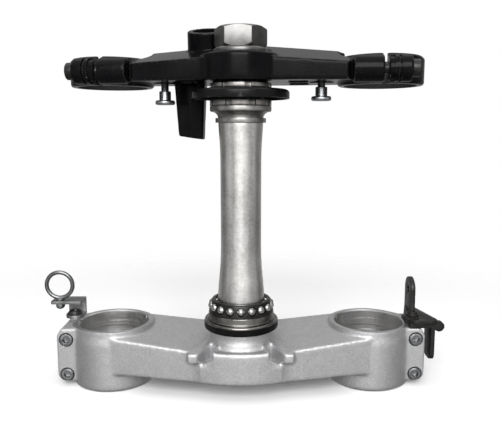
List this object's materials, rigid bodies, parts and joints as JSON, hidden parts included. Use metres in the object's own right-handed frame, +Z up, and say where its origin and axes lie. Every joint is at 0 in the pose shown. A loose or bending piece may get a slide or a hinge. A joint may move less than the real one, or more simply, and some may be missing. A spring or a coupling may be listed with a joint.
{
  "type": "motorcycle triple clamp",
  "caption": "Motorcycle triple clamp: cast lower yoke with a pressed steering stem, head bearing parts, ring nuts and a black top yoke with its stem nut.",
  "frame": {"origin": "on the steering axis, in the plane of the lower clamps' undersides, which the part stands on", "axes": "+Z up the steering axis, +Y to the front of the motorcycle (the fork side), +X along the lower yoke"},
  "size_m": [0.3279, 0.1, 0.2846],
  "materials": {
    "cast_silver": "bead-blasted casting under clear lacquer, machined in the bores",
    "screw_steel": "plated socket head screws",
    "stem_steel": "turned and lightly ground steel",
    "seal_rubber": "moulded rubber",
    "race_steel": "ground bearing steel",
    "cage_black": "oiled black cage",
    "ball_steel": "polished balls",
    "nut_steel": "plated steel",
    "cover_black": "black coated sheet",
    "yoke_black": "satin black paint on a casting",
    "bolt_black": "blackened steel",
    "zinc": "bright zinc plating",
    "bracket_grey": "grey plated sheet",
    "stay_black": "black painted steel"
  },
  "bodies": {
    "root": {"lower_yoke": "cast_silver", "left_lower_pinch_bolts": "screw_steel", "right_lower_pinch_bolts": "screw_steel", "steering_stem": "stem_steel", "lower_dust_seal": "seal_rubber", "seal_washer": "race_steel", "lower_inner_race": "race_steel", "ball_cage": "cage_black", "bearing_balls": "ball_steel", "upper_inner_race": "race_steel", "adjuster_ring_nut": "nut_steel", "upper_dust_cover": "cover_black", "lock_ring_nut": "nut_steel", "top_yoke": "yoke_black", "left_top_pinch_bolt": "bolt_black", "right_top_pinch_bolt": "bolt_black", "stem_washer": "nut_steel", "stem_nut": "nut_steel", "left_shoulder_bolt": "zinc", "right_shoulder_bolt": "zinc", "hose_guide_bracket": "bracket_grey", "hose_guide_ring": "zinc", "hose_guide_nut": "screw_steel", "guide_bracket_bolt": "screw_steel", "cable_stay": "stay_black", "brake_hose_stay": "stay_black", "stay_bolt": "stay_black"}
  },
  "joints": []
}
